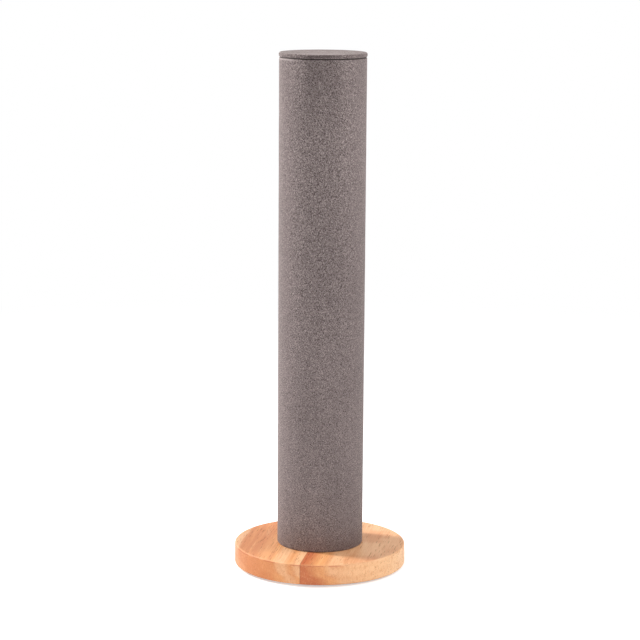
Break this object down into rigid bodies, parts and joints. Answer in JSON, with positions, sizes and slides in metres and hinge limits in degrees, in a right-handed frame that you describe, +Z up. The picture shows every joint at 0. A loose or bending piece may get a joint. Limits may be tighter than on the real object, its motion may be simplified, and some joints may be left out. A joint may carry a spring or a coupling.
{
  "type": "hair tie holder",
  "caption": "Upright suede-covered round post with a lift-off cap on a round wooden base, for hair ties and bands.",
  "frame": {"origin": "centre of the round footprint, on the surface that the foot pads stand on", "axes": "+Z up along the post's centre line; -Y is the side the picture shows and +X is to its right; the covering's seam is on the +Y side"},
  "size_m": [0.1, 0.1, 0.3],
  "materials": {
    "suede": "short-nap microfibre suede, matt with a soft sheen at grazing angles",
    "wood_pale": "pale rubberwood, sanded, thin satin lacquer",
    "wood_red": "redder rubberwood, sanded, thin satin lacquer",
    "paper_tube": "spiral-wound kraft board, matt",
    "fibreboard": "plain fibreboard, matt",
    "pad_rubber": "milky silicone rubber, matt",
    "zinc_steel": "bright zinc plate"
  },
  "bodies": {
    "stand": {"base_board_left": "wood_pale", "base_board_right": "wood_red", "foot_pad_1": "pad_rubber", "foot_pad_2": "pad_rubber", "foot_pad_3": "pad_rubber", "foot_pad_4": "pad_rubber", "clamp_bolt": "zinc_steel", "clamp_washer": "zinc_steel", "tee_nut": "zinc_steel", "foot_plug": "fibreboard", "core_tube": "paper_tube", "post_cover": "suede"},
    "cap": {"cap_board": "paper_tube", "cap_cover": "suede", "cap_spigot": "fibreboard"}
  },
  "joints": [
    {"name": "cap_lift", "type": "slide", "parent": "stand", "child": "cap", "axis": [0, 0, 1], "range_m": [0, 0.05]}
  ]
}
